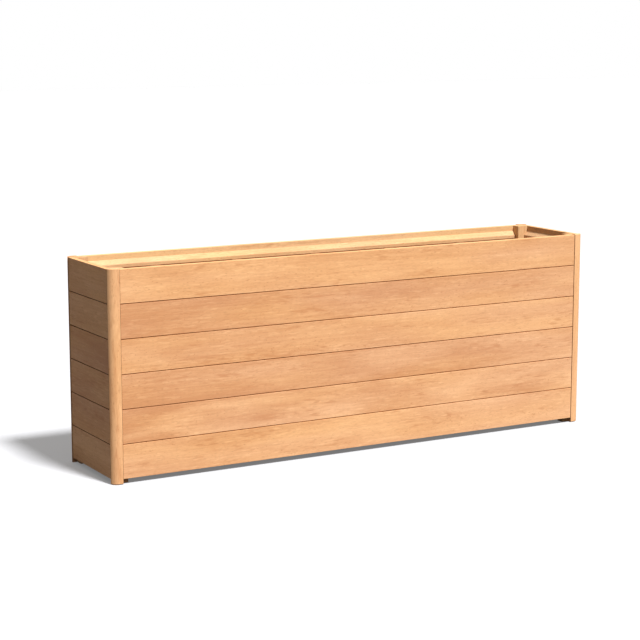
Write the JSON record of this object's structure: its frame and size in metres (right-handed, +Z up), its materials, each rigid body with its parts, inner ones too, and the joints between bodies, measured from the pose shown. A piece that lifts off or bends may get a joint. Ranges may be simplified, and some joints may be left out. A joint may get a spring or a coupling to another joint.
{
  "type": "wooden planter box",
  "caption": "Long rectangular hardwood planter box: rounded corner strips on inner posts, tongue-and-groove board walls, inner rail and battens, slatted floor, open top for plants.",
  "frame": {"origin": "on the floor under the middle of the box", "axes": "+X along the long side, +Y from the front wall to the back wall, +Z up"},
  "size_m": [2, 0.395, 0.75],
  "materials": {
    "posts": "smooth planed, matt",
    "boards": "smooth planed, matt",
    "rails": "smooth planed, matt",
    "battens": "planed, matt",
    "floor": "sawn, matt",
    "screws": "satin"
  },
  "bodies": {
    "root": {"back_batten_1": "battens", "back_batten_2": "battens", "back_batten_3": "battens", "back_batten_4": "battens", "back_batten_5": "battens", "back_board_1": "boards", "back_board_2": "boards", "back_board_3": "boards", "back_board_4": "boards", "back_board_5": "boards", "back_board_6": "boards", "back_floor_ledger": "floor", "back_top_rail": "rails", "batten_screws": "screws", "corner_strip_back_left": "posts", "corner_strip_back_right": "posts", "corner_strip_front_left": "posts", "corner_strip_front_right": "posts", "floor_slat_01": "floor", "floor_slat_02": "floor", "floor_slat_03": "floor", "floor_slat_04": "floor", "floor_slat_05": "floor", "floor_slat_06": "floor", "floor_slat_07": "floor", "floor_slat_08": "floor", "floor_slat_09": "floor", "floor_slat_10": "floor", "front_batten_1": "battens", "front_batten_2": "battens", "front_batten_3": "battens", "front_batten_4": "battens", "front_batten_5": "battens", "front_board_1": "boards", "front_board_2": "boards", "front_board_3": "boards", "front_board_4": "boards", "front_board_5": "boards", "front_board_6": "boards", "front_floor_ledger": "floor", "front_top_rail": "rails", "left_end_board_1": "boards", "left_end_board_2": "boards", "left_end_board_3": "boards", "left_end_board_4": "boards", "left_end_board_5": "boards", "left_end_board_6": "boards", "left_end_top_rail": "rails", "post_back_left": "posts", "post_back_right": "posts", "post_front_left": "posts", "post_front_right": "posts", "right_end_board_1": "boards", "right_end_board_2": "boards", "right_end_board_3": "boards", "right_end_board_4": "boards", "right_end_board_5": "boards", "right_end_board_6": "boards", "right_end_top_rail": "rails"}
  },
  "joints": []
}
